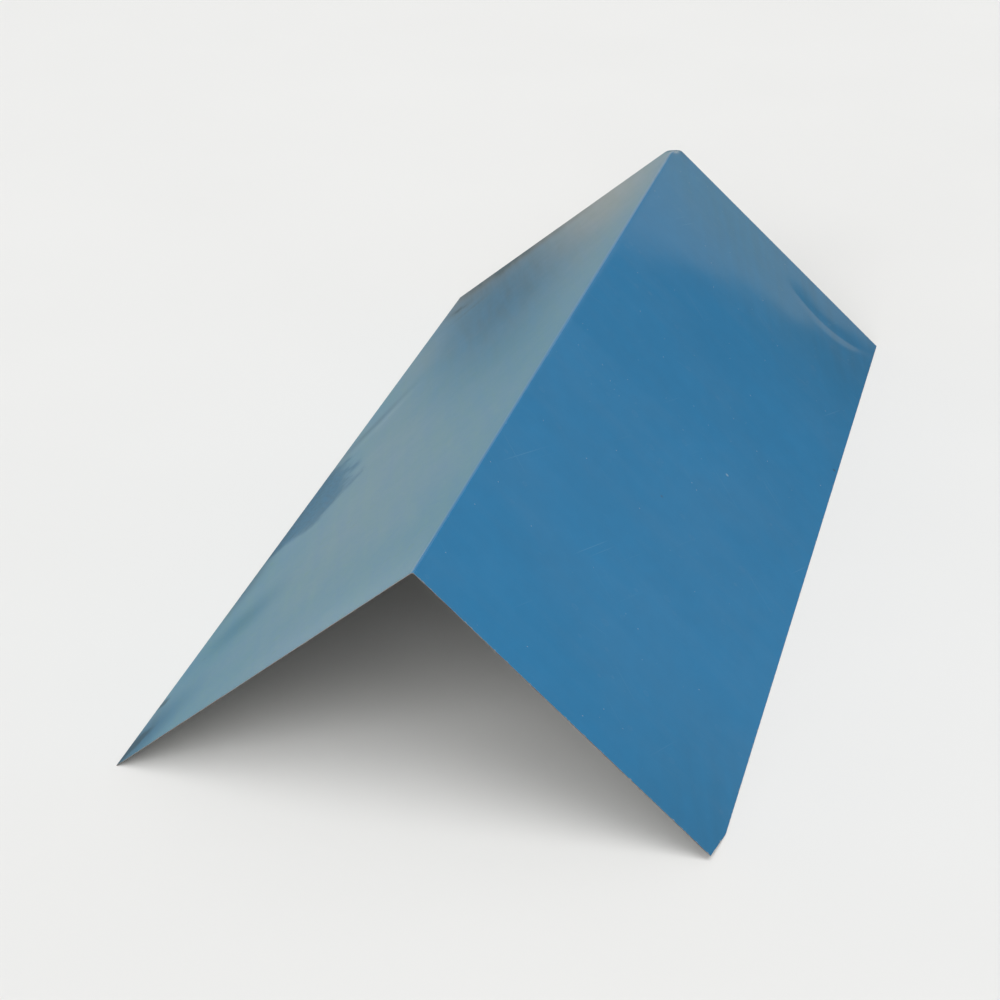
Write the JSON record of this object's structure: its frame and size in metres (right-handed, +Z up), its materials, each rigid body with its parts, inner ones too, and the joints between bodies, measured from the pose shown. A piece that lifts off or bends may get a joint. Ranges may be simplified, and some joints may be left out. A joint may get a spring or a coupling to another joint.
{
  "type": "roof ridge cap",
  "caption": "Folded sheet-steel ridge cap: one coated sheet bent along its middle into an upturned V that straddles a roof ridge, one foot corner clipped.",
  "frame": {"origin": "on the floor, midway along the cap and midway between its two foot edges", "axes": "+Y along the ridge, away from the end with the clipped corner; +Z up through the fold; +X towards the flange with the clipped corner"},
  "size_m": [0.4528, 1, 0.1964],
  "materials": {
    "blue_coated_steel": "smooth glossy blue coil coating on galvanised steel sheet, pale grey coat on the underside, bare cut edges"
  },
  "bodies": {
    "root": {"ridge_cap": "blue_coated_steel"}
  },
  "joints": []
}
